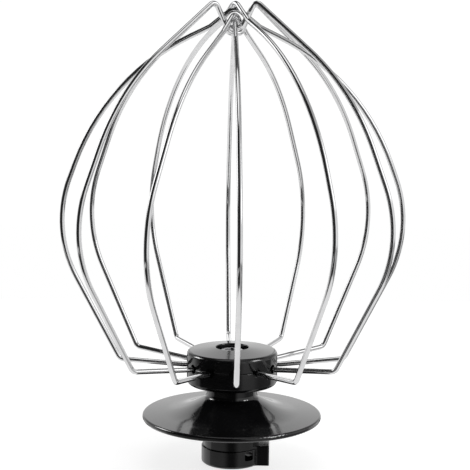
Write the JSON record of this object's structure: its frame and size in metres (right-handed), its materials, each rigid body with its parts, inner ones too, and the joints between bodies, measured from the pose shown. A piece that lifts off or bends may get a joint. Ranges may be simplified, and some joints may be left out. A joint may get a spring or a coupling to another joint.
{
  "type": "stand mixer wire whisk",
  "caption": "Balloon whisk for a stand mixer: bent steel wire loops crossing at the tip, clamped in a round plastic hub with a splash disc and a bayonet drive collar.",
  "frame": {"origin": "on the whisk's axis at the collar's resting ring", "axes": "+Z along the axis from the drive collar to the tip of the cage; +X within a wire loop's plane, near the collar's index lug"},
  "size_m": [0.1178, 0.1138, 0.1583],
  "materials": {
    "hub_plastic": "glossy black moulding",
    "screw_steel": "dark zinc-plated screw",
    "whisk_wire": "polished stainless wire"
  },
  "bodies": {
    "root": {"hub_body": "hub_plastic", "hub_cap": "hub_plastic", "cap_screw": "screw_steel", "wire_loop_1": "whisk_wire", "wire_loop_2": "whisk_wire", "wire_loop_3": "whisk_wire", "wire_loop_4": "whisk_wire", "wire_loop_5": "whisk_wire", "wire_loop_6": "whisk_wire"}
  },
  "joints": []
}
